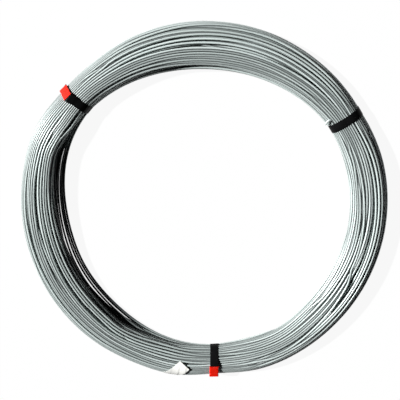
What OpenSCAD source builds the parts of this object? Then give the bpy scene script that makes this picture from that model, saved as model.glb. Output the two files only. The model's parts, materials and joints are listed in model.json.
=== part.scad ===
// Coil of galvanised steel wire, laid flat, held by three flat straps.
// The origin is on the floor, on the axis of the coil's outside, with +Z up.
// The turns bulge between the straps and are drawn in to a narrow waist under each one.

/* [Coil] */
// Radius over the outermost turns, between the straps
coil_outer_r = 350; // [320:1:450]
// Width of the bundle of turns from the outside to the eye, between the straps
bundle_w = 87; // [84:1:120]
// How far the eye sits to the right of the outside's axis
eye_shift_x = 13; // [-8:1:14]
// How far the eye sits behind the outside's axis, negative towards the front
eye_shift_y = -6; // [-8:1:8]
// Height of the bundle of turns, between the straps
bundle_h = 36; // [35:1:60]
// Radius of the bundle's outer edge on top, between the straps
outer_edge_r = 26; // [10:1:28]
// Radius of the bundle's inner edge on top, between the straps
inner_edge_r = 22; // [10:1:24]
// Radius of the bundle's two edges underneath
low_edge_r = 4; // [3:1:8]

/* [Turns] */
// Thickness of the wire, whose turns show as ridges on top and round the outer edge
wire_d = 4; // [3.5:0.5:4.5]
// How many turns lie side by side in a group on top
turns_in_group = 2; // [1:1:3]
// Narrowest gap between two groups of turns, where the eye is nearest to the outside
group_gap = 0.8; // [0.6:0.1:1.2]
// How far the first group of turns lies over the round inner edge
first_group_over = 6; // [4:1:8]

/* [Waists] */
// How far a strap draws the outermost turns in
waist_draw_in = 6; // [3:0.5:15]
// How far a strap draws the topmost turns down
waist_draw_down = 2.8; // [2.8:0.1:4]
// Width of the bundle under a strap
waist_w = 64; // [54:1:68]
// Gap between the floor and the underside of the bundle under a strap
waist_lift = 1.6; // [1.2:0.1:2]
// Radius of the bundle's two edges on top, under a strap
waist_edge_r = 26; // [18:1:26]
// Radius of the bundle's two edges underneath, under a strap
waist_low_r = 6; // [3:0.5:7]
// Radius of the hollow beside a strap on the outside of the coil
outer_dip_r = 90; // [70:5:130]
// Radius of the hollow beside a strap on the inside of the coil
inner_dip_r = 75; // [50:5:80]
// Radius of the hollows beside a strap on top and underneath
flat_dip_r = 300; // [150:10:500]

/* [Straps] */
// Direction of the right strap, in degrees from +X towards +Y
right_strap_angle = 32.5; // [15:0.5:50]
// Direction of the left strap, in degrees from +X towards +Y
left_strap_angle = 139.5; // [125:0.5:160]
// Direction of the front strap, in degrees from +X towards +Y
front_strap_angle = 274; // [273:0.5:300]
// Width of a strap
strap_w = 16; // [10:1:20]
// Thickness of a strap
strap_t = 0.6; // [0.4:0.1:1]
// Gap between a strap and the turns under it
strap_gap = 0.5; // [0.4:0.1:1]

/* [Seals] */
// Length of a seal along its strap
seal_len = 28; // [20:1:32]
// Thickness of a seal's plate
seal_t = 0.9; // [0.6:0.1:1.2]
// Width of the lips folded in behind the strap
seal_lip = 5; // [3:0.5:6]
// How far the left seal's face is tipped up from facing straight out, in degrees
left_seal_rise = 44; // [40:1:60]
// How far the front seal's face is tipped up from facing straight out, in degrees
front_seal_rise = 57; // [40:1:60]
// Gap between a seal and its strap
seal_gap = 0.2; // [0.1:0.1:0.4]

/* [Tag] */
// Direction of the tag, in degrees from +X towards +Y
tag_angle = 261.5; // [250:0.5:261.5]
// Width of the tag along the turns
tag_w = 24; // [12:1:26]
// Thickness of the folded tag
tag_t = 0.6; // [0.4:0.1:1]
// Length of the tag's flat end on top of the turns
tag_flat = 16; // [4:1:24]

/* [Hidden] */
$fn = 96;

// Sizes that follow from the ones above
strap_angles = [right_strap_angle, left_strap_angle, front_strap_angle];
eye_r = coil_outer_r - bundle_w;
waist_outer_r = coil_outer_r - waist_draw_in;
waist_inner_r = waist_outer_r - waist_w;
waist_top_z = bundle_h - waist_draw_down;
edge_centre_z = waist_top_z - waist_edge_r;
outer_edge_centre_r = waist_outer_r - waist_edge_r;
inner_edge_centre_r = waist_inner_r + waist_edge_r;
dip_into_waist = 1;
ridge_r = wire_d / 2 + 0.1;
top_ridges_r = coil_outer_r - outer_edge_r;
eye_group_r = eye_r + inner_edge_r - first_group_over + (turns_in_group - 1) * wire_d;
room_for_groups = top_ridges_r - eye_group_r - norm([eye_shift_x, eye_shift_y]);
last_group = max(1, floor(room_for_groups / (turns_in_group * wire_d + group_gap)));
edge_ridges = floor(90 / (2 * asin(wire_d / 2 / (outer_edge_r - ridge_r))));
outer_dip_centre_r = outer_edge_centre_r + dip_into_waist + outer_dip_r;
inner_dip_centre_r = inner_edge_centre_r - dip_into_waist - inner_dip_r;
past_dip_angle = 0.7;
seal_strap_n = waist_edge_r + strap_gap + seal_t + seal_gap;
layers_t = 2 * strap_t + 2 * seal_gap;
seal_out_w = strap_w + 2 * (seal_gap + seal_t);
cut_over = 10;

// ---- the turns of wire ----

// Section of a bundle of turns from r0 to r1 and z0 to z1, with round edges
module bundle_section(r0, r1, z0, z1, top_edge, low_edge) {
    intersection() {
        union() {
            for (r = [r0 + top_edge, r1 - top_edge])
                translate([r, z1 - top_edge]) circle(r = top_edge);
            translate([r0 + top_edge, z0]) square([r1 - r0 - 2 * top_edge, z1 - z0]);
            translate([r0, z0]) square([r1 - r0, z1 - z0 - top_edge]);
        }
        union() {
            for (r = [r0 + low_edge, r1 - low_edge])
                translate([r, z0 + low_edge]) circle(r = low_edge);
            translate([r0 + low_edge, z0]) square([r1 - r0 - 2 * low_edge, z1 - z0]);
            translate([r0, z0 + low_edge]) square([r1 - r0, z1 - z0 - low_edge]);
        }
    }
}

// Section of the bundle between the straps, before its eye is cut out
module full_section(grow = 0) {
    bundle_section(0, coil_outer_r + grow, 0, bundle_h + grow,
                   outer_edge_r + grow, low_edge_r);
}

// How far from a strap, in degrees, the hollow beside it ends on a circle of radius r
function dip_reach(r, dip_centre_r, dip_r) =
    acos((r * r + pow(dip_centre_r, 2) - pow(dip_r, 2)) / (2 * r * dip_centre_r));

// Takes the section of some turns round the coil, in each span between two straps' hollows
module turns_between_straps(dip_angle) {
    next_angles = [strap_angles[1], strap_angles[2], strap_angles[0] + 360];
    end_angle = dip_angle + past_dip_angle;
    for (k = [0:2])
        rotate([0, 0, strap_angles[k] + end_angle])
            rotate_extrude(angle = next_angles[k] - strap_angles[k] - 2 * end_angle)
                children();
}

// Section of a group of turns that lie side by side on top, the outermost at group_r
module group_section(group_r) {
    for (k = [0:turns_in_group - 1])
        translate([group_r - k * wire_d, bundle_h - ridge_r]) circle(r = ridge_r);
}

// The outermost group of turns on top, and the turns round the outer edge
module outer_turns() {
    turns_between_straps(dip_reach(coil_outer_r, outer_dip_centre_r, outer_dip_r)) {
        group_section(top_ridges_r);
        for (k = [1:edge_ridges])
            translate([top_ridges_r, bundle_h - outer_edge_r])
                rotate(90 - k * 90 / edge_ridges)
                    translate([outer_edge_r - ridge_r, 0]) circle(r = ridge_r);
    }
}

// The other groups of turns on top: the last one goes round the eye's own axis
module inner_turns() {
    for (group = [1:last_group]) {
        share = group / last_group;
        translate([eye_shift_x * share, eye_shift_y * share, 0])
            turns_between_straps(dip_reach(eye_r, inner_dip_centre_r, inner_dip_r))
                group_section(top_ridges_r + (eye_group_r - top_ridges_r) * share);
    }
}

// Half section of the eye, which flares over the bundle's round inner edges
module eye_section() {
    difference() {
        translate([0, -cut_over])
            square([eye_r + max(inner_edge_r, low_edge_r), bundle_h + 2 * cut_over]);
        bundle_section(eye_r, 2 * coil_outer_r, 0, bundle_h, inner_edge_r, low_edge_r);
    }
}

// Section of the bundle under a strap: domed on top, nearly flat underneath
module waist_section(grow = 0) {
    bundle_section(waist_inner_r - grow, waist_outer_r + grow,
                   waist_lift - grow, waist_top_z + grow,
                   waist_edge_r + grow, waist_low_r + grow);
}

// The hollows that draw the bundle in to its waist at one strap
module waist_dips(angle) {
    rotate([0, 0, angle]) {
        translate([outer_dip_centre_r, 0, -cut_over])
            cylinder(r = outer_dip_r, h = bundle_h + 2 * cut_over);
        translate([inner_dip_centre_r, 0, -cut_over])
            cylinder(r = inner_dip_r, h = bundle_h + 2 * cut_over);
        for (z = [waist_lift + dip_into_waist - flat_dip_r,
                  waist_top_z - dip_into_waist + flat_dip_r])
            translate([eye_r - inner_dip_r, 0, z])
                rotate([0, 90, 0])
                    cylinder(r = flat_dip_r, h = coil_outer_r - eye_r + inner_dip_r + cut_over);
    }
}

module wire_coil() {
    color([0.62, 0.64, 0.63]) {
        rotate_extrude() waist_section();
        difference() {
            rotate_extrude() full_section(-ridge_r);
            translate([eye_shift_x, eye_shift_y, 0]) rotate_extrude() eye_section();
            for (angle = strap_angles) waist_dips(angle);
        }
        outer_turns();
        inner_turns();
    }
}

// ---- the straps ----

// Stands its children, drawn with X outwards and Y up, in the strap's upright plane
module in_strap_plane(angle, width) {
    rotate([0, 0, angle])
        rotate([90, 0, 0])
            linear_extrude(height = width, center = true)
                children();
}

// Moves its children to the middle of the seal, with X along the strap and Y outwards
module at_seal(rise) {
    translate([outer_edge_centre_r, edge_centre_z])
        rotate(rise - 90)
            children();
}

// Inside of the taut band: round the waist, and straight through a seal where there is one
module band_inside(seal_rise) {
    hull() {
        waist_section(strap_gap, $fn = 48);
        if (!is_undef(seal_rise))
            at_seal(seal_rise)
                translate([-seal_len / 2, 0]) square([seal_len, seal_strap_n]);
    }
}

module strap(angle, seal_rise = undef) {
    color([0.07, 0.07, 0.08])
        in_strap_plane(angle, strap_w)
            difference() {
                offset(r = strap_t) band_inside(seal_rise);
                band_inside(seal_rise);
            }
}

module strap_right() strap(right_strap_angle);
module strap_left() strap(left_strap_angle, left_seal_rise);
module strap_front() strap(front_strap_angle, front_seal_rise);

// ---- the seals, folded round the strap's two ends ----

module seal_section() {
    difference() {
        translate([-seal_out_w / 2, -seal_t])
            square([seal_out_w, layers_t + 2 * seal_t]);
        translate([-strap_w / 2 - seal_gap, 0])
            square([strap_w + 2 * seal_gap, layers_t]);
        translate([-seal_out_w / 2 + seal_t + seal_lip, -2 * seal_t])
            square([seal_out_w - 2 * (seal_t + seal_lip), 3 * seal_t]);
    }
}

module seal(angle, rise) {
    color([0.75, 0.1, 0.1])
        rotate([0, 0, angle])
            translate([outer_edge_centre_r, 0, edge_centre_z])
                rotate([0, 90 - rise, 0])
                    translate([0, 0, seal_strap_n - seal_gap])
                        rotate([90, 0, 90])
                            linear_extrude(height = seal_len, center = true)
                                seal_section();
}

module seal_left() seal(left_strap_angle, left_seal_rise);
module seal_front() seal(front_strap_angle, front_seal_rise);

// ---- the tag, bent over the outer edge of the turns ----

module tag_section() {
    intersection() {
        difference() {
            full_section(tag_t);
            full_section();
        }
        translate([coil_outer_r - outer_edge_r - tag_flat, bundle_h - outer_edge_r])
            square([2 * outer_edge_r + tag_flat, 2 * outer_edge_r]);
    }
}

module tag() {
    color([0.93, 0.93, 0.92])
        intersection() {
            rotate_extrude() tag_section();
            rotate([0, 0, tag_angle])
                translate([0, -tag_w / 2, 0])
                    cube([coil_outer_r + cut_over, tag_w, bundle_h + cut_over]);
        }
}

wire_coil();
strap_right();
strap_left();
strap_front();
seal_left();
seal_front();
tag();
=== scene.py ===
# %% [markdown]
# # A coil of galvanised wire, held by three steel straps
#
# About 250 m of zinc-coated steel wire, 4 mm thick, lies in one flat coil. Three black steel
# straps hold it, two of them closed by red seals, and a white tag is folded over its edge.
# The coil looks rich because its wire is really wound: 128 turns that lie on each other,
# cross at small angles and leave long dark gaps. So most of this lesson is about laying a wire.

# %% Load the frame
import json
import math

import bmesh
import bpy
import numpy as np
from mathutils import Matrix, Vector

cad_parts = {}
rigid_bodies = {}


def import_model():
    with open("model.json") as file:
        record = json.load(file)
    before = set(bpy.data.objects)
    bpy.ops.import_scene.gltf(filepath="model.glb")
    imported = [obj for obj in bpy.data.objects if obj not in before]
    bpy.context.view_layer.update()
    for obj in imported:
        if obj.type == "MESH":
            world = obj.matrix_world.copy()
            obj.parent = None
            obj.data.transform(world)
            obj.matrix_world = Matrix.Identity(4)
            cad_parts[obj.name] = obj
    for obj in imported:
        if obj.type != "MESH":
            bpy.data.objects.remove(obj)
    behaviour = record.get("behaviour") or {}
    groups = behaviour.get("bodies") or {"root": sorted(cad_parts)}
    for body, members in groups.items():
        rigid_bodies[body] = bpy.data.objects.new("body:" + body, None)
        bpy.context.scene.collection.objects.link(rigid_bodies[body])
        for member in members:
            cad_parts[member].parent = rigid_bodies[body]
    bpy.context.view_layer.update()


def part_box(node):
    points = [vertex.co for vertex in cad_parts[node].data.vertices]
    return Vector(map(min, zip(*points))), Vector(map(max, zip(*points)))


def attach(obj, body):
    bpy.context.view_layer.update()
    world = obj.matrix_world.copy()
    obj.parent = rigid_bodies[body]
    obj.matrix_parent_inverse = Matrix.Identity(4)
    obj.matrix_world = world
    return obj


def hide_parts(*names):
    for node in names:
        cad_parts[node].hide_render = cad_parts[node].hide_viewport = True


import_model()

MM = 0.001
coil_low, coil_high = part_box("wire_coil")
coil_r = (coil_high.x - coil_low.x) / 2 / MM
print(f"coil: {coil_r:.0f} mm radius, {coil_high.z / MM:.1f} mm high")

# %% [markdown]
# ## Where the straps pull the coil in
#
# A strap is a band in an upright plane through the coil's axis. Seen from above its solid is a
# thin rectangle, so the middle of its box gives its direction, and the box's two sides give
# its reach from the axis. Everything that follows is placed by these numbers, in millimetres.

# %% Strap directions and reach
STRAPS = ["strap_right", "strap_left", "strap_front"]
strap_w, strap_t, strap_gap = 16.0, 0.6, 0.5


def strap_place(name):
    """Direction in radians, and the inner and outer reach from the axis."""
    low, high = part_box(name)
    x, y = (low.x + high.x) / 2 / MM, (low.y + high.y) / 2 / MM
    angle = math.atan2(y, x) % (2 * math.pi)
    across = strap_w * abs(math.sin(angle))
    length = ((high.x - low.x) / MM - across) / abs(math.cos(angle))
    if abs(math.cos(angle)) < 0.3:  # the box is too narrow along X to measure the reach there
        across = strap_w * abs(math.cos(angle))
        length = ((high.y - low.y) / MM - across) / abs(math.sin(angle))
    middle = math.hypot(x, y)
    return angle, middle - length / 2, middle + length / 2


strap_angle = np.array([strap_place(name)[0] for name in STRAPS])
right_in, right_out = strap_place("strap_right")[1:]
wall = strap_t + strap_gap
waist_in = np.array([right_in + wall + shift for shift in (-1.0, 2.5, 1.5)])
waist_out = np.array([right_out - wall + shift for shift in (1.0, 0.0, -2.0)])
for name, angle, low_r, high_r in zip(STRAPS, strap_angle, waist_in, waist_out):
    print(f"{name}: {math.degrees(angle):.1f} deg, turns from {low_r:.1f} to {high_r:.1f} mm")

# %% [markdown]
# ## The room that the turns have
#
# Under a strap the bundle is squeezed into a narrow dome. Between two straps it springs out,
# by a different amount in each of the three spans, and a few bumps make it uneven. In the left
# span the lowest turns slip in towards the eye and form a low shelf under a steep shoulder.
# Distances from the nearest strap are measured along the coil. A bump is a middle in degrees, a
# height in millimetres and a half width in degrees.

# %% Limits of the bundle round the coil
wire_d = 4.0
turns, stations = 128, 144
waist_w, waist_h = 64.0, 33.0
bulge_in = np.array([21.5, 33.0, 3.0])
bulge_power = np.array([1.3, 1.9, 1.3])
IN_BUMPS = [(75, -1.0, 18), (207, -6.5, 20), (300, -5.0, 11), (330, 1.0, 14)]
OUT_BUMPS = [(154, 2.5, 10), (50, -2.5, 14), (110, -2.0, 9), (125, -6.5, 10), (246, -3.5, 13)]
spring_reach, rise_reach = 60.0, 80.0
strap_lift, box_margin = 2.2, 0.3
roof_at_strap, roof_rise, roof_sag = 33.3, 2.5, 1.5
shelf_w, shelf_z = 21.0, 6.5
shelf_from, shelf_to = 146.0, 258.0
mean_r = 310.0
direction = np.arange(stations) * 2 * math.pi / stations + strap_angle[0] + math.radians(2.4)
degrees = np.degrees(direction) % 360
strap_ring = np.append(strap_angle, strap_angle[0] + 2 * math.pi)


def span_share(angle):
    """Which span between two straps a direction is in, and how far along it."""
    angle = (angle - strap_angle[0]) % (2 * math.pi) + strap_angle[0]
    span = np.clip(np.searchsorted(strap_ring, angle, side="right") - 1, 0, 2)
    share = (angle - strap_ring[span]) / (strap_ring[span + 1] - strap_ring[span])
    return span, share


def bumps(entries):
    """Sum of smooth bumps round the coil."""
    return sum(height * np.exp(-((degrees - middle) / half) ** 2) for middle, height, half in entries)


def ease(x):
    """Goes smoothly from 0 to 1."""
    x = np.clip(x, 0, 1)
    return x * x * (3 - 2 * x)


span, share = span_share(direction)
after = (span + 1) % 3
swell = np.sin(math.pi * share) ** bulge_power[span]
from_strap = np.minimum(share, 1 - share) * (strap_ring[span + 1] - strap_ring[span]) * mean_r
relax = 1 - np.exp(-(from_strap / spring_reach) ** 2)
nearest_out = np.where(share < 0.5, waist_out[span], waist_out[after])
inner_r = waist_in[span] * (1 - share) + waist_in[after] * share - bulge_in[span] * swell
inner_r -= bumps(IN_BUMPS)
outer_r = nearest_out + (coil_r - box_margin - nearest_out) * relax + bumps(OUT_BUMPS)
floor_z = strap_lift * (1 - np.minimum(from_strap / spring_reach, 1)) ** 2
roof_z = (roof_at_strap + roof_rise * np.minimum(from_strap / rise_reach, 1)
          - roof_sag * swell * bulge_in[span] / 30)
shelf = ease((degrees - shelf_from) / 14) * ease((shelf_to - degrees) / 26)
# Radii of the rounded upper edges
outer_edge = 29 - relax
inner_edge = 25 + 5 * swell * bulge_in[span] / 30 - 15 * shelf
print(f"bundle width {np.min(outer_r - inner_r):.0f} to {np.max(outer_r - inner_r):.0f} mm")


def smooth_noise(count, step, seed, columns):
    """Random curves that change over about step points."""
    rng = np.random.RandomState(seed)
    knots = rng.normal(0, 1, (int(count / step) + 3, columns))
    x = np.arange(count) / step
    k = x.astype(int)
    t = ease(x - k)[:, None]
    return knots[k] * (1 - t) + knots[k + 1] * t


# %% [markdown]
# Between the straps the turns part into groups, and narrow gaps run between the groups for half
# a metre and more. You look into them and see nothing but shade. These dark lines are what makes
# a coil of wire look like one. Each gap is a line on the bundle that wanders, opens and closes.

# %% Gaps between groups of turns
gap_share = np.array([0.06, 0.15, 0.24, 0.32, 0.41, 0.50, 0.59, 0.67, 0.76, 0.85, 0.94])
gap_depth, widest_gap = 10.0, 5.5
opening = np.clip(smooth_noise(stations, stations / 6, 8, len(gap_share)) + 0.4, 0.12, 3) ** 1.5
opening /= opening.sum(1, keepdims=True)
shoulder_r = inner_r + shelf_w * shelf
spare = np.maximum(outer_r - shoulder_r - waist_w * (1 - 0.12 * shelf), 0)
gap_w = np.minimum(1.05 * spare[:, None] * opening, widest_gap)
gap_way = smooth_noise(stations, stations / 7, 41, len(gap_share)) * 0.01
gap_way += smooth_noise(stations, stations / 5, 44, 1) * 0.015
step_in = np.array([0.0, 0.0, -wire_d / waist_w])
gap_way += (step_in[span] * share)[:, None]
gap_r = shoulder_r[:, None] + (outer_r - shoulder_r)[:, None] * (gap_share + gap_way)
print(f"gaps {gap_w.mean():.1f} mm wide on average, at most {gap_w.max():.1f} mm")


def part_groups(lay, sides, under):
    """Keeps the upper turns on their own sides of the gaps, and sends others underneath."""
    r, z = lay[..., 0], lay[..., 1]
    high = ease((z - (roof_z - gap_depth)) / 3)
    for k in range(len(gap_share)):
        room = (gap_w[:, k] + wire_d) / 2 * ease(gap_w[:, k] / 1.2)
        short = np.clip(room - (r - gap_r[:, k]) * sides[..., k], 0, 3) * sides[..., k]
        r += 0.5 * short * high
    limit = roof_z - gap_depth * ease((from_strap - 10) / 110)
    z -= 0.5 * np.clip(z - limit, 0, 3) * under


def keep_inside(lay):
    """Moves every point of the wire's centre line back inside the room, edges rounded."""
    r, z = lay[..., 0], lay[..., 1]
    half = wire_d / 2
    low_r, high_r = inner_r + half, outer_r - half
    top = roof_z - half
    np.clip(z, floor_z + half, top, out=z)
    shoulder = low_r + shelf_w * shelf
    np.clip(r, low_r + shelf_w * shelf * ease((z - shelf_z) / 5), high_r, out=r)
    for edge, centre, side in ((inner_edge - half, shoulder, 1), (outer_edge - half, high_r, -1)):
        dr = r - (centre + side * edge)
        dz = z - (top - edge)
        reach = np.hypot(dr, dz)
        over = (dz > 0) & (dr * side < 0) & (reach > edge)
        pull = np.where(over, edge / np.maximum(reach, 1e-6), 1)
        r[...] = np.where(over, r - dr * (1 - pull), r)
        z[...] = np.where(over, z - dz * (1 - pull), z)


# %% [markdown]
# ## Which place a turn takes under each strap
#
# Under a strap the turns are packed like the cells of a honeycomb. A machine winds the wire to
# and fro and from the bottom up, so turn after turn takes the next cell. Some disorder makes the
# crossings: under each strap, a few turns swap places with a later one. The same cells stay empty
# under all three straps, so most turns keep their neighbours all the way round.

# %% Honeycomb places and winding order
row_pitch = wire_d * 0.855
cells_in_row = 17
empty_seed = 3
swaps, furthest_swap = 12, 9


def honeycomb(seed):
    """Places under one strap, as shares of the waist's width and height."""
    rng = np.random.RandomState(empty_seed)
    radius = 23.0
    cells = []
    for row in range(int((waist_h - wire_d) / row_pitch) + 1):
        z = wire_d / 2 + row * row_pitch
        for x in np.arange(wire_d / 2 * (1 + row % 2), waist_w - wire_d / 2 + 0.01, wire_d):
            dx = max(radius - x, x - (waist_w - radius), 0)
            dz = max(z - (waist_h - radius), 0)
            if math.hypot(dx, dz) <= radius - wire_d / 2 + 0.9 or dx == 0 or dz == 0:
                cells.append((x, z))
    cells = np.array(cells)
    loose = cells[:, 1] + rng.uniform(0, 14, len(cells))
    cells = cells[np.argsort(loose)[:turns]]
    cells = cells + np.random.RandomState(seed).normal(0, 0.35, cells.shape)
    return cells / np.array([waist_w, waist_h])


def winding_order(cells, seed):
    """The cells in the order in which the turns take them."""
    rng = np.random.RandomState(seed)
    row = np.floor(cells[:, 1] * waist_h / row_pitch)
    column = cells[:, 0] * waist_w / wire_d
    key = row * cells_in_row + np.where(row % 2 == 0, column, cells_in_row - 0.5 - column)
    order = np.argsort(key)
    for one in rng.choice(turns - furthest_swap, swaps, replace=False):
        other = one + rng.randint(1, furthest_swap)
        order[[one, other]] = order[[other, one]]
    return cells[order]


cells = [winding_order(honeycomb(3 + k), 20 + k) for k in range(3)]
cells[0][-1] = (14.0 / waist_w, 1 - 2.2 / waist_h)  # on top and near the eye, for the hook
print(f"{len(cells[0])} places under each strap")

# %% [markdown]
# ## From strap to strap
#
# Between two straps the wire glides from one place to the next and wanders a little. Turns that
# lie close together drift the same way, so they stay a group. A turn whose places at two straps
# are on different sides of a gap has to cross it, and nearly half of these go underneath.

# %% First lay of the wire
chain = turns * stations
step_angle = 2 * math.pi / stations
chain_angle = direction[0] + np.arange(chain) * step_angle
pass_angle = np.concatenate([strap_angle + 2 * math.pi * k for k in range(turns + 1)])
pass_place = np.concatenate([np.stack([c[k] for c in cells]) for k in range(turns)]
                            + [np.stack([c[-1] for c in cells])])
here = np.clip(np.searchsorted(pass_angle, chain_angle, side="right") - 1, 0, len(pass_angle) - 2)
way = (chain_angle - pass_angle[here]) / (pass_angle[here + 1] - pass_angle[here])
glide = ease((way - 0.06) / 0.88)[:, None]
place = pass_place[here] * (1 - glide) + pass_place[here + 1] * glide


def drift(place, angle, seed, size):
    """A slow shift shared by turns that lie close together: six waves, size on average."""
    rng = np.random.RandomState(seed)
    total = 0
    for k in range(6):
        wave = rng.uniform(0.6, 2.4, 2) * rng.choice((-1, 1), 2)
        rounds = rng.randint(1, 5)
        phase = place @ wave * 2 * math.pi + rounds * angle + rng.uniform(0, 2 * math.pi)
        total = total + np.sin(phase) * size / math.sqrt(3)
    return total


wander = smooth_noise(chain, stations / 6, 5, 2) * np.array([0.012, 0.02])
wander[:, 0] += drift(place, chain_angle, 51, 0.03)
wander[:, 1] += drift(place, chain_angle, 52, 0.03)
place = place + wander * np.sin(math.pi * way)[:, None]
place = np.clip(place, 0, 1).reshape(turns, stations, 2)

# A side is 1 outside a gap, -1 inside it and 0 where the turn is on its way across
one_end = pass_place[here, 0]
other_end = pass_place[here + 1, 0] - step_in[here % 3]
sides = sum(np.sign(end.reshape(turns, stations, 1) - gap_share) for end in (one_end, other_end)) / 2
crosses = (sides == 0).any(-1)
over_it = np.random.RandomState(17).rand(len(pass_place))[here].reshape(turns, stations) < 0.55
under = np.where(over_it, 0, crosses)
print(f"{np.mean(crosses):.0%} of the wire changes sides of a gap")

# Only the lowest turns, nearest to the eye, lie on the shelf
on_shelf = 1 - np.maximum(ease((place[..., 1] - 0.3) / 0.1), ease((place[..., 0] - 0.2) / 0.07))
low_r = inner_r + shelf_w * shelf * (1 - on_shelf)
lay = np.empty_like(place)
lay[..., 0] = low_r + wire_d / 2 + (outer_r - low_r - wire_d) * place[..., 0]
lay[..., 1] = floor_z + wire_d / 2 + (roof_z - floor_z - wire_d) * place[..., 1]
keep_inside(lay)
print(f"{chain} points, {chain * step_angle * mean_r / 1000:.0f} m of wire")

# %% [markdown]
# ## Let the turns push each other apart
#
# Two turns may not share the same place. Each pass below finds the points of turns that are
# too close in the same upright section and pushes them apart by half of what is missing. Then
# it straightens the wire a little, because steel wire is stiff, and puts it back in its room.

# %% Relaxation
stiffness_of_run = (0.5, 0.5, 0.5, 0.5, 0.5, 0.4, 0.3)
passes_in_run, last_unsmoothed = 60, 6
search_every, search_margin = 12, 2.2
share_of_push = 0.55


def close_pairs(lay, reach):
    """Index pairs of points in the same section that are closer than reach."""
    r, z = lay[..., 0].T.astype(np.float32), lay[..., 1].T.astype(np.float32)
    gap = (r[:, :, None] - r[:, None, :]) ** 2 + (z[:, :, None] - z[:, None, :]) ** 2
    near = (gap < reach * reach) & np.triu(np.ones((turns, turns), bool), 1)
    section, i, j = np.nonzero(near)
    return i * stations + section, j * stations + section


low_corner = np.tile(np.stack([inner_r, floor_z], -1), (turns, 1))
room_size = np.tile(np.stack([outer_r - inner_r, roof_z - floor_z], -1), (turns, 1))


def settle(lay, stiffness):
    """One run of passes. The last few don't smooth, so that they end with the turns apart."""
    flat = lay.reshape(-1, 2)
    for count in range(passes_in_run):
        if count % search_every == 0:
            one, two = close_pairs(lay, wire_d + search_margin)
        away = flat[one] - flat[two]
        dist = np.sqrt((away * away).sum(1)) + 1e-9
        hit = dist < wire_d
        a, b = one[hit], two[hit]
        push = away[hit] * ((wire_d - dist[hit]) / dist[hit] / 2)[:, None]
        met = np.bincount(a, minlength=chain) + np.bincount(b, minlength=chain)
        for axis in (0, 1):
            moved = np.bincount(a, push[:, axis], chain) - np.bincount(b, push[:, axis], chain)
            flat[:, axis] += moved / np.maximum(1, met * share_of_push)
        if count < passes_in_run - last_unsmoothed:
            share = (flat - low_corner) / room_size
            for again in range(2):
                share[1:-1] += stiffness * ((share[:-2] + share[2:]) / 2 - share[1:-1])
            flat[:] = low_corner + share * room_size
        part_groups(lay, sides, under)
        keep_inside(lay)


for stiffness in stiffness_of_run:
    settle(lay, stiffness)
one, two = close_pairs(lay, wire_d)
flat = lay.reshape(-1, 2)
depth = wire_d - np.sqrt(((flat[one] - flat[two]) ** 2).sum(1))
print(f"touching {len(depth)}, deeper than 0.4 mm {np.sum(depth > 0.4)}, worst {depth.max():.2f}")

# %% [markdown]
# ## The wire as one long line
#
# The centre line is turned into points in space. The last turn ends beside the right strap,
# where the wire's cut end is bent across the turns, towards the eye, to lock it. Each point of
# the hook is a step out from the axis, on along the coil and up, from where the last turn ends.

# %% Centre line, with the hooked end
angle_of = np.tile(direction, turns) + np.repeat(np.arange(turns), stations) * 2 * math.pi


def at(r, angle, z):
    """A point given by distance from the axis, direction and height, all in millimetres."""
    return np.stack([r * np.cos(angle), r * np.sin(angle), z + 0 * r], -1)


line = at(flat[:, 0], angle_of, flat[:, 1])
end_r, end_angle, end_z = flat[-1, 0], angle_of[-1] + step_angle, flat[-1, 1]
hook = [(0.0, 0.0, 0.0), (-0.6, 4.0, 1.2), (-2.6, 7.4, 2.6), (-6.0, 9.0, 3.2),
        (-10.0, 8.6, 2.6), (-13.4, 7.0, 0.6), (-15.4, 5.6, -2.6)]
hook_out, hook_on, hook_up = np.array(hook).T
line = np.vstack([line, at(end_r + hook_out, end_angle + hook_on / end_r, end_z + hook_up)])
wire_m = np.sqrt((np.diff(line, axis=0) ** 2).sum(1)).sum() * MM
print(f"wire {wire_m:.1f} m, hook end {end_r + hook_out[-1]:.0f} mm from the axis")

# %% [markdown]
# ## A node tree that sweeps a round wire along a line
#
# Geometry Nodes turn the line into a curve and sweep a circle along it. The tree stores where
# each point is round the wire, so the zinc's finish can follow the wire without a seam. The
# same tree serves every length of wire, and its sizes are inputs with names.

# %% Small helpers for node trees


def new_tree(name):
    """An empty node tree that takes a geometry and gives one back."""
    tree = bpy.data.node_groups.new(name, "GeometryNodeTree")
    tree.interface.new_socket("Geometry", in_out="INPUT", socket_type="NodeSocketGeometry")
    tree.interface.new_socket("Geometry", in_out="OUTPUT", socket_type="NodeSocketGeometry")
    return tree


def add_input(tree, name, kind, value=None):
    """A named input of a tree, with the value it has when nothing sets it."""
    socket = tree.interface.new_socket(name, in_out="INPUT", socket_type="NodeSocket" + kind)
    if value is not None:
        socket.default_value = value
    return socket


def in_scene(name, data):
    """A new object, linked to the scene."""
    obj = bpy.data.objects.new(name, data)
    bpy.context.scene.collection.objects.link(obj)
    return obj


def add(tree, kind, values=None, **settings):
    """A new node, with its settings and the values of its inputs."""
    node = tree.nodes.new(kind)
    for key, value in settings.items():
        setattr(node, key, value)
    for key, value in (values or {}).items():
        node.inputs[key].default_value = value
    return node


def link_all(tree, pairs):
    """Links each output in the pairs to its input."""
    for out_socket, in_socket in pairs:
        tree.links.new(out_socket, in_socket)


def evaluate(obj, tree, inputs, name):
    """Runs a tree on an object and returns the result as a plain mesh object."""
    modifier = obj.modifiers.new("build", "NODES")
    modifier.node_group = tree
    for item in tree.interface.items_tree:
        if item.item_type == "SOCKET" and item.in_out == "INPUT" and item.name in inputs:
            modifier[item.identifier] = inputs[item.name]
    obj.update_tag()
    bpy.context.view_layer.update()
    graph = bpy.context.evaluated_depsgraph_get()
    mesh = bpy.data.meshes.new_from_object(obj.evaluated_get(graph), depsgraph=graph)
    obj.modifiers.remove(modifier)
    mesh.name = name
    made = in_scene(name, mesh)
    bpy.data.objects.remove(obj)
    return made


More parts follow.
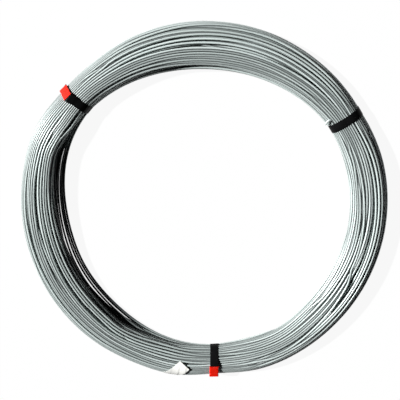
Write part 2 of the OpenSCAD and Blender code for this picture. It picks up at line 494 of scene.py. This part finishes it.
def sweep_along(tree, given, path, section, mark, mark_name):
    """Ends a tree: a marked section swept along a path, made real and given its material."""
    store = add(tree, "GeometryNodeStoreNamedAttribute", {"Name": mark_name},
                data_type="FLOAT_VECTOR", domain="POINT")
    sweep = add(tree, "GeometryNodeCurveToMesh", {"Fill Caps": True})
    smooth = add(tree, "GeometryNodeSetShadeSmooth")
    real = add(tree, "GeometryNodeRealizeInstances")
    paint = add(tree, "GeometryNodeSetMaterial")
    out = add(tree, "NodeGroupOutput")
    link_all(tree, (
        (section, store.inputs["Geometry"]),
        (mark, store.inputs["Value"]),
        (path, sweep.inputs["Curve"]),
        (store.outputs["Geometry"], sweep.inputs["Profile Curve"]),
        (sweep.outputs["Mesh"], smooth.inputs["Geometry"]),
        (smooth.outputs["Geometry"], real.inputs["Geometry"]),
        (real.outputs["Geometry"], paint.inputs["Geometry"]),
        (given.outputs["Finish"], paint.inputs["Material"]),
        (paint.outputs["Geometry"], out.inputs["Geometry"]),
    ))


# %% The sweep for wire
def wire_sweep():
    """The tree that makes round wire of a line and marks where each point is round its section."""
    tree = new_tree("round_wire")
    add_input(tree, "Wire Radius", "Float", 0.002)
    add_input(tree, "Sides", "Int", 10)
    add_input(tree, "Finish", "Material")
    given = add(tree, "NodeGroupInput")
    curve = add(tree, "GeometryNodeMeshToCurve")
    circle = add(tree, "GeometryNodeCurvePrimitiveCircle")
    where = add(tree, "GeometryNodeInputPosition")
    unit = add(tree, "ShaderNodeVectorMath", operation="NORMALIZE")
    link_all(tree, (
        (given.outputs["Geometry"], curve.inputs["Mesh"]),
        (given.outputs["Sides"], circle.inputs["Resolution"]),
        (given.outputs["Wire Radius"], circle.inputs["Radius"]),
        (where.outputs["Position"], unit.inputs[0]),
    ))
    sweep_along(tree, given, curve.outputs["Curve"], circle.outputs["Curve"],
                unit.outputs["Vector"], "round_wire")
    return tree


# %% [markdown]
# ## Finishes
#
# Each finish is a node material of its own. The zinc coat is a dull, uneven metal: streaks run
# along the wire, each turn has a slightly different tone, and where turns touch, shade is painted
# into it as near black. The black and red paints are a little worn, and the tag is plain paper.

# %% Helpers for materials


def new_material(name, roughness, metallic=0.0, specular=0.5):
    """A material, its node tree and its surface node."""
    material = bpy.data.materials.new(name)
    material.use_nodes = True
    surface = material.node_tree.nodes["Principled BSDF"]
    surface.inputs["Roughness"].default_value = roughness
    surface.inputs["Metallic"].default_value = metallic
    surface.inputs["Specular IOR Level"].default_value = specular
    return material, material.node_tree, surface


def value_math(tree, operation, a, b):
    """A Math node on two sockets or numbers. Returns its output."""
    node = add(tree, "ShaderNodeMath", operation=operation)
    for socket, given in zip(node.inputs, (a, b)):
        if isinstance(given, (int, float)):
            socket.default_value = given
        else:
            tree.links.new(given, socket)
    return node.outputs[0]


def noise(tree, vector, scale, detail=2.0, rough=0.5):
    """A noise at the given coordinates, from about 0 to 1."""
    node = add(tree, "ShaderNodeTexNoise", {"Scale": scale, "Detail": detail, "Roughness": rough})
    tree.links.new(vector, node.inputs["Vector"])
    return node.outputs["Fac"]


def spread(tree, factor, low, high, to_low=0.0, to_high=1.0):
    """Maps a factor from one range to another, held at the ends."""
    node = add(tree, "ShaderNodeMapRange",
               {"From Min": low, "From Max": high, "To Min": to_low, "To Max": to_high})
    tree.links.new(factor, node.inputs["Value"])
    return node.outputs["Result"]


def blend_colour(tree, factor, a, b):
    """Mixes two colours, given as sockets or as red, green and blue."""
    node = add(tree, "ShaderNodeMix", data_type="RGBA")
    tree.links.new(factor, node.inputs["Factor"])
    for socket, given in ((node.inputs["A"], a), (node.inputs["B"], b)):
        if isinstance(given, tuple):
            socket.default_value = (*given, 1)
        else:
            tree.links.new(given, socket)
    return node.outputs["Result"]


def bump(tree, surface, height, strength, distance):
    """Lets a height tilt the light on a surface, without moving it."""
    node = add(tree, "ShaderNodeBump", {"Strength": strength, "Distance": distance})
    tree.links.new(height, node.inputs["Height"])
    tree.links.new(node.outputs["Normal"], surface.inputs["Normal"])


def attribute(tree, name):
    """A node that reads one of the mesh's own numbers."""
    return add(tree, "ShaderNodeAttribute", attribute_name=name)


def object_coordinates(tree):
    """Places on the piece, in metres, which is what the patterns are laid out in."""
    return add(tree, "ShaderNodeTexCoord").outputs["Object"]


# %% [markdown]
# The zinc's streaks are noise that is stretched along the wire: two coordinates go round the
# wire's section and the third slowly along its length. The grain is much finer.

# %% Zinc on the wire
def galvanised():
    """Streaky zinc, with its own tone on each stretch of wire and painted shade in its crevices."""
    material, tree, surface = new_material("galvanised_zinc", 0.4, metallic=0.2)
    split = add(tree, "ShaderNodeSeparateXYZ")
    tree.links.new(attribute(tree, "round_wire").outputs["Vector"], split.inputs[0])
    along = attribute(tree, "along").outputs["Fac"]
    streak_at = add(tree, "ShaderNodeCombineXYZ")
    for axis, part, stretch in (("X", split.outputs["X"], 1.6), ("Y", split.outputs["Y"], 1.6),
                                ("Z", along, 14.0)):
        tree.links.new(value_math(tree, "MULTIPLY", part, stretch), streak_at.inputs[axis])
    streak = noise(tree, streak_at.outputs[0], 1.0, 4.0, 0.6)
    grain = noise(tree, object_coordinates(tree), 900.0, 2.0, 0.5)
    tone = attribute(tree, "tone").outputs["Fac"]
    dull = spread(tree, streak, 0.38, 0.66)
    zinc = blend_colour(tree, dull, (0.67, 0.76, 0.74), (0.88, 0.97, 0.95))
    zinc = blend_colour(tree, tone, (0.50, 0.57, 0.55), zinc)
    # Painted shade: the crevice number mixes the zinc towards near black, and so does the painted shadow
    # on the low shelf.
    painted_shade = attribute(tree, "painted_shade").outputs["Fac"]
    zinc = blend_colour(tree, value_math(tree, "MULTIPLY", painted_shade, 0.96), zinc, (0.014, 0.015, 0.018))
    tree.links.new(zinc, surface.inputs["Base Color"])
    rough = value_math(tree, "ADD", spread(tree, streak, 0.3, 0.7, 0.42, 0.30),
                       spread(tree, grain, 0.3, 0.7, -0.04, 0.04))
    tree.links.new(rough, surface.inputs["Roughness"])
    bump(tree, surface, grain, 0.12, 0.0002)
    return material


zinc = galvanised()

# %% [markdown]
# ## The turns
#
# The wire is one length, but a mesh of every turn would be heavy, so it is made as three
# lengths that follow one another: the lower, the middle and the upper turns. Two numbers go
# with every point: how far along the wire it is, and a tone that changes slowly from turn to turn.

# %% Make the turns
wire_sides = 10
LENGTHS = ["wire_lower_turns", "wire_middle_turns", "wire_upper_turns"]
run_m = np.concatenate([[0], np.cumsum(np.sqrt((np.diff(line, axis=0) ** 2).sum(1)))]) * MM
tone_of = 0.5 + 0.5 * np.tanh(smooth_noise(len(line), stations * 0.6, 9, 1)[:, 0] * 0.9 + 0.5)


def polyline(name, points, numbers):
    """A mesh of vertices and edges only, with a float attribute for each entry of numbers."""
    mesh = bpy.data.meshes.new(name)
    edges = [(k, k + 1) for k in range(len(points) - 1)]
    mesh.from_pydata([tuple(p) for p in points], edges, [])
    for key, values in numbers.items():
        kind = "FLOAT_VECTOR" if np.ndim(values) == 2 else "FLOAT"
        data = mesh.attributes.new(key, kind, "POINT").data
        data.foreach_set("vector" if kind == "FLOAT_VECTOR" else "value",
                         np.asarray(values, np.float32).ravel())
    return in_scene(name, mesh)


sweep_tree = wire_sweep()
cuts = [0, turns // 3 * stations, turns * 2 // 3 * stations, len(line) - 1]
wire_pieces = []
for name, first, last in zip(LENGTHS, cuts, cuts[1:]):
    part = slice(first, last + 1)
    path = polyline(name + "_line", line[part] * MM, {"along": run_m[part], "tone": tone_of[part]})
    piece = evaluate(path, sweep_tree,
                     {"Wire Radius": wire_d / 2 * MM, "Sides": wire_sides, "Finish": zinc}, name)
    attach(piece, "root")
    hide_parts("wire_coil")
    wire_pieces.append(piece)
    print(name, len(piece.data.polygons), "faces")

# %% [markdown]
# Where turns touch and deep inside the coil, shade is painted into the zinc's colour, which goes
# dark there. Every vertex gets a number for this: it adds up how near its neighbours' surfaces are,
# so open wire stays bright and crevices turn black with painted shade. The low shelf at the left,
# which lies in the shoulder's shadow, is painted dark all over as painted shadow.

# %% Painted shade in the crevices
# Reach in millimetres and strength of the painted shade in the crevices.
shade_reach, crowding = 2.6, 1.7
# Strength and top height, in millimetres, of the painted shadow on the low shelf.
shelf_shadow, shelf_shadow_top = 0.95, 25.0


def painted_shade_of(piece, first):
    """Stores how tightly the neighbouring turns enclose each vertex, as painted shade."""
    count = len(piece.data.vertices)
    points = np.empty(count * 3, np.float32)
    piece.data.vertices.foreach_get("co", points)
    points = points.reshape(-1, wire_sides, 3) / MM
    spots = np.stack([np.hypot(points[..., 0], points[..., 1]), points[..., 2]], -1)
    painted_shade = np.empty(spots.shape[:2], np.float32)
    for k in range(len(spots)):
        turn_no, station = divmod(first + k, stations)
        others = np.delete(lay[:, station], min(turn_no, turns - 1), axis=0)
        gap = np.hypot(*np.moveaxis(spots[k][:, None] - others, -1, 0)) - wire_d / 2
        # Painted shade: the nearer the neighbours' surfaces, the darker the vertex is painted.
        painted_shade[k] = 1 - np.exp(-crowding * np.clip(1 - gap / shade_reach, 0, 1).sum(-1))
        r, z = spots[k].T
        # Painted shadow: the low shelf under the shoulder is painted dark where the shoulder's shadow
        # falls.
        low = ease((shoulder_r[station] + 6 - r) / 5) * ease((shelf_shadow_top - z) / 5)
        painted_shade[k] = np.maximum(painted_shade[k], shelf_shadow * shelf[station] * low)
    piece.data.attributes.new("painted_shade", "FLOAT", "POINT").data.foreach_set("value", painted_shade.ravel())
    print(piece.name, f"grime {painted_shade.mean():.2f} on average")


for piece, first in zip(wire_pieces, cuts):
    painted_shade_of(piece, first)

# %% [markdown]
# ## The path of a strap
#
# A steel strap is pulled tight, so in its own upright plane it runs like a rubber band round
# the turns: straight from one proud turn to the next. That shape is their convex hull. The band
# starts under its seal, goes once round the bundle and ends on top of its own start, so there
# it lies in two layers. Where a seal grips it, a flat bed stands off the turns.

# %% Convex hull of the turns under a strap
seal_len, seal_t, seal_slack = 28.0, 0.9, 0.1
seal_half = seal_len / 2
band_clear = 0.05


def turns_under(angle):
    """Distance from the axis and height of every turn where it passes under a strap."""
    found = []
    for shift in (-strap_w / 2, 0.0, strap_w / 2):
        start = ((angle + shift / mean_r - direction[0]) % (2 * math.pi)) / step_angle
        spot = start + np.arange(turns) * stations
        spot = spot[spot < chain - 1]
        k = spot.astype(int)
        found.append(flat[k] + (flat[k + 1] - flat[k]) * (spot - k)[:, None])
    return np.vstack(found)


def hull(points):
    """Corners of the convex hull, anticlockwise."""
    points = points[np.lexsort((points[:, 1], points[:, 0]))]
    corners = []
    for run in (points, points[::-1]):
        kept = []
        for point in run:
            while len(kept) > 1:
                a, b = kept[-1] - kept[-2], point - kept[-2]
                if a[0] * b[1] - a[1] * b[0] > 0:
                    break
                kept.pop()
            kept.append(point)
        corners += kept[:-1]
    return np.array(corners)


def round_turns(centres, clear):
    """Points on the outsides of all the turns, a little clear of them."""
    spin = np.arange(24) * math.pi / 12
    circle = np.stack([np.cos(spin), np.sin(spin)], -1) * (wire_d / 2 + clear)
    return (centres[:, None] + circle).reshape(-1, 2)


# %% [markdown]
# The bed of a seal touches the dome of turns at a given tilt. How far along that tilt it lies is
# read from the seal's own solid, and slid a few millimetres. The right strap has no seal: its
# two ends are joined underneath, where only their double thickness shows.

# %% The band's line in its plane
def seal_place(name):
    """Distance from the axis and height of the middle of a seal."""
    low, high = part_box(name)
    middle = (low + high) / 2 / MM
    return np.array([math.hypot(middle.x, middle.y), middle.z])


class Band:
    """A taut band: its closed loop, measured clockwise from the middle of the join."""

    def __init__(self, angle, tilt, slid, tails, bed=None):
        """The tails are the lengths of the two ends that stick out of the join."""
        outsides = round_turns(turns_under(angle), band_clear)
        self.face = np.array([math.cos(tilt), math.sin(tilt)])
        self.up = np.array([-self.face[1], self.face[0]])
        reach = (outsides @ self.face).max()
        if bed is None:
            centre = self.face * reach + self.up * (outsides @ self.up).mean()
        else:
            reach += seal_t + seal_slack
            centre = self.face * reach + self.up * (bed @ self.up + slid)
            corners = [centre + self.up * side for side in (-seal_half - 1, seal_half + 1)]
            outsides = np.vstack([outsides, corners])
        self.centre = centre
        self.half = 0.0 if bed is None else seal_half
        self.tails = tails
        loop = hull(outsides)[::-1]
        loop = np.vstack([loop, loop[:1]])
        run = np.concatenate([[0], np.cumsum(np.hypot(*np.diff(loop, axis=0).T))])
        self.length = run[-1]
        fine = np.arange(0, self.length, 0.5)
        ring = np.stack([np.interp(fine, run, loop[:, k]) for k in (0, 1)], -1)
        first = np.argmin(np.hypot(*(ring - centre).T))
        self.ring = np.roll(ring, -first, axis=0)
        self.spacing = self.length / len(fine)

    def at(self, s):
        """Place and outward direction at lengths s along the loop."""
        ring = self.ring
        count = len(ring)
        spot = np.asarray(s) / self.spacing

        def place(x):
            k = np.floor(x).astype(int)
            t = (x - k)[:, None]
            return ring[k % count] * (1 - t) + ring[(k + 1) % count] * t

        reach = 3
        middle = sum(place(spot + d) for d in range(-reach, reach + 1)) / (2 * reach + 1)
        ahead = place(spot + 4) - place(spot - 4)
        ahead /= np.hypot(*ahead.T)[:, None]
        return middle, np.stack([-ahead[:, 1], ahead[:, 0]], -1)

    def line(self, step):
        """Centre line of the band from end to end, with its outward directions."""
        low_end = -self.half - self.tails[0]
        high_end = self.length + self.half + self.tails[1]
        s = np.linspace(low_end, high_end, int((high_end - low_end) / step) + 1)
        place, out = self.at(s)
        climb = ease((s - (self.length + low_end - 9)) / 8) * (strap_t + 0.06)
        return s, place + out * (strap_t / 2 + climb)[:, None], out


# %% [markdown]
# The straps don't run quite square across the coil: each leans a few degrees, and the left seal
# is turned a little the other way. So each band gets a sideways offset along its line: a shift
# in millimetres at one distance from the axis, its lean in degrees, and its seal's turn in degrees.

# %% Three bands in space
LEAN = {
    "strap_right": (1.5, 0.5, 0.0),
    "strap_left": (-2.8, 1.0, -8.6),
    "strap_front": (-2.4, -4.5, -4.5),
}
lean_at = 312.0


def sideways(name, band, r, s):
    """Offset of a strap along the coil, from its lean and its seal's own turn."""
    shift, lean, seal_turn = LEAN[name]
    slope = math.tan(math.radians(lean))
    straight = shift + slope * (r - lean_at)
    if band.half == 0:
        return straight
    along = (s + band.length / 2) % band.length - band.length / 2
    grip = ease((band.half + 13 - np.abs(along)) / 12)
    turned = shift + slope * (band.centre[0] - lean_at) + math.tan(math.radians(seal_turn)) * along
    return straight * (1 - grip) + turned * grip


def in_space(angle, r, z, offset):
    """Points from distance, height and offset along the coil, in millimetres."""
    out = np.array([math.cos(angle), math.sin(angle), 0.0])
    along = np.array([-math.sin(angle), math.cos(angle), 0.0])
    return np.multiply.outer(r, out) + np.multiply.outer(offset, along) + np.multiply.outer(z, (0, 0, 1))


bands = {
    "strap_right": Band(strap_angle[0], -math.pi / 2, 0.0, (22.0, 22.0)),
    "strap_left": Band(strap_angle[1], math.radians(42), 2.0, (9.0, 6.0), seal_place("seal_left")),
    "strap_front": Band(strap_angle[2], math.radians(66), 6.0, (9.0, 2.5), seal_place("seal_front")),
}
for name, band in bands.items():
    print(name, f"loop {band.length:.0f} mm, middle of join", band.centre.round(1))

# %% [markdown]
# ## A node tree that sweeps a flat band along a line
#
# Strapping is rolled flat with slightly round edges. The tree makes that section from a
# rectangle with its corners filleted, and sweeps it along the line. A free curve normal keeps
# the band's flat side facing out from the turns all the way round.

# %% The sweep for strapping
def band_sweep():
    """The tree that makes flat strapping of a line with outward directions."""
    tree = new_tree("flat_band")
    add_input(tree, "Band Width", "Float", 0.016)
    add_input(tree, "Band Thickness", "Float", 0.0006)
    add_input(tree, "Edge Radius", "Float", 0.0002)
    add_input(tree, "Finish", "Material")
    given = add(tree, "NodeGroupInput")
    curve = add(tree, "GeometryNodeMeshToCurve")
    facing = add(tree, "GeometryNodeInputNamedAttribute", {"Name": "facing"}, data_type="FLOAT_VECTOR")
    frame_it = add(tree, "GeometryNodeSetCurveNormal", mode="FREE")
    flat_bar = add(tree, "GeometryNodeCurvePrimitiveQuadrilateral")
    fillet = add(tree, "GeometryNodeFilletCurve", {"Count": 3}, mode="POLY")
    where = add(tree, "GeometryNodeInputPosition")
    link_all(tree, (
        (given.outputs["Geometry"], curve.inputs["Mesh"]),
        (curve.outputs["Curve"], frame_it.inputs["Curve"]),
        (facing.outputs["Attribute"], frame_it.inputs["Normal"]),
        (given.outputs["Band Thickness"], flat_bar.inputs["Width"]),
        (given.outputs["Band Width"], flat_bar.inputs["Height"]),
        (flat_bar.outputs["Curve"], fillet.inputs["Curve"]),
        (given.outputs["Edge Radius"], fillet.inputs["Radius"]),
    ))
    sweep_along(tree, given, frame_it.outputs["Curve"], fillet.outputs["Curve"],
                where.outputs["Position"], "section")
    return tree


# %% [markdown]
# The straps are so black that little but their scuffs and edges shows. Each band's line is swept
# at points 1.2 mm apart, so that it bends smoothly over the turns.

# %% Black lacquer on the straps
def black_lacquer():
    """Near black, a little smeared, with fine scuffs."""
    material, tree, surface = new_material("black_lacquer", 0.3, specular=0.02)
    place = object_coordinates(tree)
    smear = noise(tree, place, 60.0, 4.0, 0.6)
    scuff = spread(tree, noise(tree, place, 420.0, 3.0, 0.7), 0.64, 0.72)
    colour = blend_colour(tree, smear, (0.003, 0.0033, 0.0035), (0.009, 0.009, 0.0095))
    tree.links.new(blend_colour(tree, scuff, colour, (0.02, 0.02, 0.021)), surface.inputs["Base Color"])
    rough = value_math(tree, "ADD", spread(tree, smear, 0.3, 0.7, 0.18, 0.28),
                       value_math(tree, "MULTIPLY", scuff, 0.2))
    tree.links.new(rough, surface.inputs["Roughness"])
    bump(tree, surface, smear, 0.15, 0.0003)
    return material


black = black_lacquer()

# %% Make the straps
band_tree = band_sweep()
band_step = 1.2
for name, band in bands.items():
    angle = strap_angle[STRAPS.index(name)]
    s, place, out = band.line(band_step)
    offset = sideways(name, band, place[:, 0], s)
    points = in_space(angle, place[:, 0], place[:, 1], offset)
    facing = in_space(angle, out[:, 0], out[:, 1], 0 * s)
    path = polyline(name + "_line", points * MM, {"along": s * MM, "facing": facing})
    piece = evaluate(path, band_tree, {"Band Width": strap_w * MM, "Band Thickness": strap_t * MM,
                                       "Edge Radius": 0.2 * MM, "Finish": black}, name + "_band")
    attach(piece, "root")
    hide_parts(name)
    lowest = min(v.co.z for v in piece.data.vertices) / MM
    print(piece.name, len(piece.data.polygons), "faces, lowest", round(lowest, 2))

# %% [markdown]
# ## The seals
#
# A seal is a strip of painted steel, folded round both layers of the strap and crimped. Its
# section is a flat C: a face, two rounded sides, and two lips tucked in behind. The mesh is a
# grid of that section, repeated along the seal, and the crimps are dents pressed into its sides.

# %% Section and crimps of a seal
seal_bend, lip_len = 1.4, 5.0
inside_t = 2 * strap_t + 0.2
crimp_at, crimp_half, crimp_depth, crimp_pinch = (-6.5, 6.5), 1.7, 0.55, 0.07


def seal_middle_line():
    """Middle of the seal's plate, from one lip's edge round to the other: (across, out)."""
    half_w = strap_w / 2 + 0.2 + seal_t / 2
    low, high = -seal_t / 2, inside_t + seal_t / 2
    bend = min(seal_bend, (high - low) / 2)
    arc = np.linspace(0, math.pi / 2, 6)
    side = [(half_w - bend - lip_len, low), (half_w - bend - lip_len / 2, low)]
    side += [(half_w - bend + bend * math.sin(a), low + bend - bend * math.cos(a)) for a in arc]
    side += [(half_w - bend + bend * math.cos(a), high - bend + bend * math.sin(a)) for a in arc]
    side += [(x, high) for x in (half_w - 2.4, half_w - 4.2, half_w - 6.3)]
    right = np.array(side)
    left = (right * np.array([-1, 1]))[::-1]
    return np.vstack([right, [[0.0, high]], left])


def plate_faces(rows, columns):
    """Faces of a closed plate: two grids of points, one for each side, and the edges between."""
    def index(shell, row, column):
        return (shell * rows + row) * columns + column

    faces = []
    for r in range(rows - 1):
        for c in range(columns - 1):
            near, right, far, left = (r, c), (r, c + 1), (r + 1, c + 1), (r + 1, c)
            faces.append([index(0, *corner) for corner in (near, right, far, left)])
            faces.append([index(1, *corner) for corner in (near, left, far, right)])
        for c in (0, columns - 1):
            faces.append([index(0, r, c), index(0, r + 1, c), index(1, r + 1, c), index(1, r, c)])
    for c in range(columns - 1):
        for r in (0, rows - 1):
            faces.append([index(0, r, c), index(1, r, c), index(1, r, c + 1), index(0, r, c + 1)])
    return faces


def seal_mesh(name, where, along, face, across):
    """A crimped seal centred at where, as a closed shell of the plate's thickness."""
    section = seal_middle_line()
    ahead = np.gradient(section, axis=0)
    ahead /= np.hypot(*ahead.T)[:, None]
    outward = np.stack([ahead[:, 1], -ahead[:, 0]], -1)
    length = np.linspace(-seal_half, seal_half, 49)
    shells = []
    for level in (seal_t / 2, -seal_t / 2):
        ring = section + outward * level
        grid = np.empty((len(length), len(ring), 3))
        for k, u in enumerate(length):
            dent = sum(math.exp(-((u - c) / crimp_half) ** 2) for c in crimp_at)
            edge = np.clip((np.abs(ring[:, 0]) - 4.5) / 4.0, 0, 1) ** 2
            ends = max(0.0, abs(u) - (seal_half - 1.2)) / 1.2
            x = ring[:, 0] * (1 - crimp_pinch * dent * edge)
            y = ring[:, 1] - crimp_depth * dent * edge * (ring[:, 1] > inside_t / 2) + 0.25 * ends * ends
            grid[k] = np.stack([x, np.full(len(ring), u), y], -1)
        shells.append(grid)
    points = np.vstack([g.reshape(-1, 3) for g in shells])
    points = where + points @ np.array([across, along, face])
    return new_mesh_object(name, points * MM, plate_faces(len(length), len(section)))


def new_mesh_object(name, points, faces):
    """A closed mesh with its faces turned outwards and smooth where it bends gently."""
    mesh = bpy.data.meshes.new(name)
    mesh.from_pydata([tuple(p) for p in points], [], faces)
    work = bmesh.new()
    work.from_mesh(mesh)
    bmesh.ops.recalc_face_normals(work, faces=work.faces)
    work.to_mesh(mesh)
    work.free()
    mesh.polygons.foreach_set("use_smooth", [True] * len(mesh.polygons))
    mesh.set_sharp_from_angle(angle=math.radians(40))
    return in_scene(name, mesh)


# %% [markdown]
# The seals' paint is a strong, glossy red. A broad noise makes it a little patchy, and the peaks of
# a fine noise are its few dark chips, which cost nothing in the mesh.

# %% Red paint on the seals
def red_paint():
    """Patchy red with dark chips."""
    material, tree, surface = new_material("red_paint", 0.35, specular=0.25)
    place = object_coordinates(tree)
    patch = noise(tree, place, 90.0, 3.0, 0.6)
    chips = spread(tree, noise(tree, place, 520.0, 4.0, 0.7), 0.66, 0.7)
    colour = blend_colour(tree, patch, (0.88, 0.010, 0.002), (1.0, 0.022, 0.006))
    tree.links.new(blend_colour(tree, chips, colour, (0.34, 0.02, 0.012)), surface.inputs["Base Color"])
    tree.links.new(spread(tree, patch, 0.3, 0.7, 0.3, 0.45), surface.inputs["Roughness"])
    bump(tree, surface, patch, 0.2, 0.0003)
    return material


red = red_paint()

# %% [markdown]
# A seal sits on its band's bed: the band gives its middle, which way its face looks and which way
# it runs, and the turn of the seal is added to that.

# %% Make the seals
for name, strap in (("seal_left", "strap_left"), ("seal_front", "strap_front")):
    band = bands[strap]
    angle = strap_angle[STRAPS.index(strap)]
    face = in_space(angle, band.face[0], band.face[1], 0.0)
    down = in_space(angle, -band.up[0], -band.up[1], 0.0)
    side = in_space(angle, 0.0, 0.0, 1.0)
    turn = math.radians(LEAN[strap][2])
    along = down * math.cos(turn) + side * math.sin(turn)
    across = side * math.cos(turn) - down * math.sin(turn)
    offset = sideways(strap, band, band.centre[0], np.array([0.0]))[0]
    where = in_space(angle, band.centre[0], band.centre[1], offset)
    piece = seal_mesh("crimped_" + name, where, along, face, across)
    piece.data.materials.append(red)
    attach(piece, "root")
    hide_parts(name)
    print(piece.name, "middle at", where.round(1), "mm")

# %% [markdown]
# ## The tag
#
# A blank paper label lies askew over the outer turns and is bent down over their edge. Paper
# can bend but not stretch, so its points are measured out on a flat sheet, which is turned a
# little and laid on the coil's section. It stands off the turns more towards one corner.

# %% Shape of the tag
tag_w, tag_len, tag_t = 25.6, 52.0, 0.25
tag_turn = math.radians(-36.0)
tag_corner = (306.5, math.radians(261.05))
tag_mean_r = 325
tag_clear, tag_curl, tag_ripple = 0.7, 2.3, 0.16


def tag_ground(reach, angle):
    """Top of the turns under the tag: place and outward direction for a length over the edge."""
    k = int(round(((angle - direction[0]) % (2 * math.pi)) / step_angle)) % stations
    edge, top, end = outer_edge[k], roof_z[k], outer_r[k]
    flat_end = end - edge
    bend = edge * math.pi / 2
    if reach < flat_end:
        return np.array([reach, top]), np.array([0.0, 1.0])
    if reach < flat_end + bend:
        a = (reach - flat_end) / edge
        return (np.array([flat_end + edge * math.sin(a), top - edge + edge * math.cos(a)]),
                np.array([math.sin(a), math.cos(a)]))
    return np.array([end, top - edge - (reach - flat_end - bend)]), np.array([1.0, 0.0])


def tag_mesh():
    """The bent label: u runs across the flat sheet and v along it, both in millimetres."""
    across, along = np.linspace(0, tag_w, 17), np.linspace(0, tag_len, 33)
    crease = np.random.RandomState(31).normal(0, 1, (5, 4))
    cos, sin = math.cos(tag_turn), math.sin(tag_turn)
    points = []
    for shell in (0, 1):
        for v in along:
            for u in across:
                angle = tag_corner[1] + (u * cos + v * sin) / tag_mean_r
                reach = tag_corner[0] + v * cos - u * sin
                spot, out = tag_ground(reach, angle)
                rise = tag_clear + tag_curl * (u / tag_w) * max(0, 1 - v / 40) + 0.5 * max(0, 1 - v / 20)
                ripple = (c[0] * math.sin((u * c[1] + v * c[2]) / 7 + 3 * c[3]) for c in crease)
                rise += tag_ripple * sum(ripple)
                spot = spot + out * (rise - shell * tag_t)
                points.append((spot[0] * math.cos(angle), spot[0] * math.sin(angle), spot[1]))
    return new_mesh_object("paper_tag", np.array(points) * MM, plate_faces(len(along), len(across)))


# %% [markdown]
# The paper is a warm white. A fine noise gives it fibres, in its colour and as a slight bump, and
# a broad one soils a few patches.

# %% Paper of the tag
def tag_paper():
    """Warm white paper with fibres and soiled patches."""
    material, tree, surface = new_material("tag_paper", 0.75)
    place = object_coordinates(tree)
    fibre = noise(tree, place, 900.0, 3.0, 0.6)
    soil = noise(tree, place, 70.0, 4.0, 0.6)
    clean = blend_colour(tree, fibre, (0.88, 0.88, 0.84), (0.94, 0.94, 0.90))
    soiled = spread(tree, soil, 0.58, 0.75, 0.0, 0.4)
    tree.links.new(blend_colour(tree, soiled, clean, (0.72, 0.71, 0.62)), surface.inputs["Base Color"])
    bump(tree, surface, fibre, 0.2, 0.0001)
    return material


tag = tag_mesh()
tag.data.materials.append(tag_paper())
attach(tag, "root")
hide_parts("tag")
print("tag", len(tag.data.polygons), "faces")

# %% [markdown]
# ## Camera, light and floor
#
# One low sun from the left draws a thin shadow beside every turn. The floor and the sky look white
# to the camera, so a low view ends in white too. The floor is also white in the wire's reflections,
# but both throw hardly any plain light on the wire, so the gaps stay dark. A small part of the
# floor's look is plain white paint, which takes the coil's soft shadow.

# %% The white floor and the sky
floor_reach = 6.0
glow_share = 0.93
sky_light, sky_seen = 0.03, 2.0
floor_mesh = bpy.data.meshes.new("floor")
floor_corners = [(x * floor_reach, y * floor_reach, 0) for x, y in ((-1, -1), (1, -1), (1, 1), (-1, 1))]
floor_mesh.from_pydata(floor_corners, [], [(0, 1, 2, 3)])
floor = in_scene("floor", floor_mesh)
floor_material, tree, surface = new_material("floor_white", 0.6)
glow = add(tree, "ShaderNodeEmission")
path = add(tree, "ShaderNodeLightPath")
seen = value_math(tree, "MAXIMUM", path.outputs["Is Camera Ray"],
                  value_math(tree, "MAXIMUM", path.outputs["Is Glossy Ray"],
                             path.outputs["Is Transmission Ray"]))
tree.links.new(blend_colour(tree, seen, (0.1, 0.1, 0.1), (0.9, 0.9, 0.9)), surface.inputs["Base Color"])
mixer = add(tree, "ShaderNodeMixShader")
link_all(tree, (
    (value_math(tree, "MULTIPLY", seen, glow_share), mixer.inputs["Fac"]),
    (surface.outputs[0], mixer.inputs[1]),
    (glow.outputs[0], mixer.inputs[2]),
    (mixer.outputs[0], tree.nodes["Material Output"].inputs["Surface"]),
))
floor.data.materials.append(floor_material)

world = bpy.data.worlds.new("studio")
world.use_nodes = True
sky = world.node_tree
sky.nodes["Background"].inputs["Color"].default_value = (0.5, 0.52, 0.55, 1)
path = add(sky, "ShaderNodeLightPath")
white = value_math(sky, "MULTIPLY", path.outputs["Is Camera Ray"], sky_seen)
sky.links.new(value_math(sky, "MAXIMUM", white, sky_light), sky.nodes["Background"].inputs["Strength"])
bpy.context.scene.world = world

# %% The sun and the camera
key_azimuth, key_elevation = math.radians(164), math.radians(33)
key = bpy.data.lights.new("key", "SUN")
key.energy = 6.3
key.angle = math.radians(2)
key_lamp = in_scene("key", key)
key_lamp.rotation_euler = (math.pi / 2 - key_elevation, 0, key_azimuth + math.pi / 2)

tilt_angle = math.radians(13)
stand_off, view_width = 1.5, 0.758
aim = (-0.0085, 0.017, 0.0175)
camera = bpy.data.cameras.new("camera")
camera.sensor_width = 36
camera.lens = 36 * stand_off / view_width
eye = in_scene("camera", camera)
eye.location = (aim[0], aim[1] + stand_off * math.sin(tilt_angle),
                aim[2] + stand_off * math.cos(tilt_angle))
eye.rotation_euler = (-tilt_angle, 0, 0)
bpy.context.scene.camera = eye
bpy.context.scene.view_settings.view_transform = "Standard"

# %% [markdown]
# ## Measure
#
# The last cell measures every piece and prints how high it reaches, from its lowest point to its
# highest.

# %% Measure and finish
for piece in bpy.context.scene.objects:
    if piece.type == "MESH" and not piece.hide_render:
        heights = [v.co.z / MM for v in piece.data.vertices]
        print(piece.name, f"from {min(heights):.1f} to {max(heights):.1f} mm high")
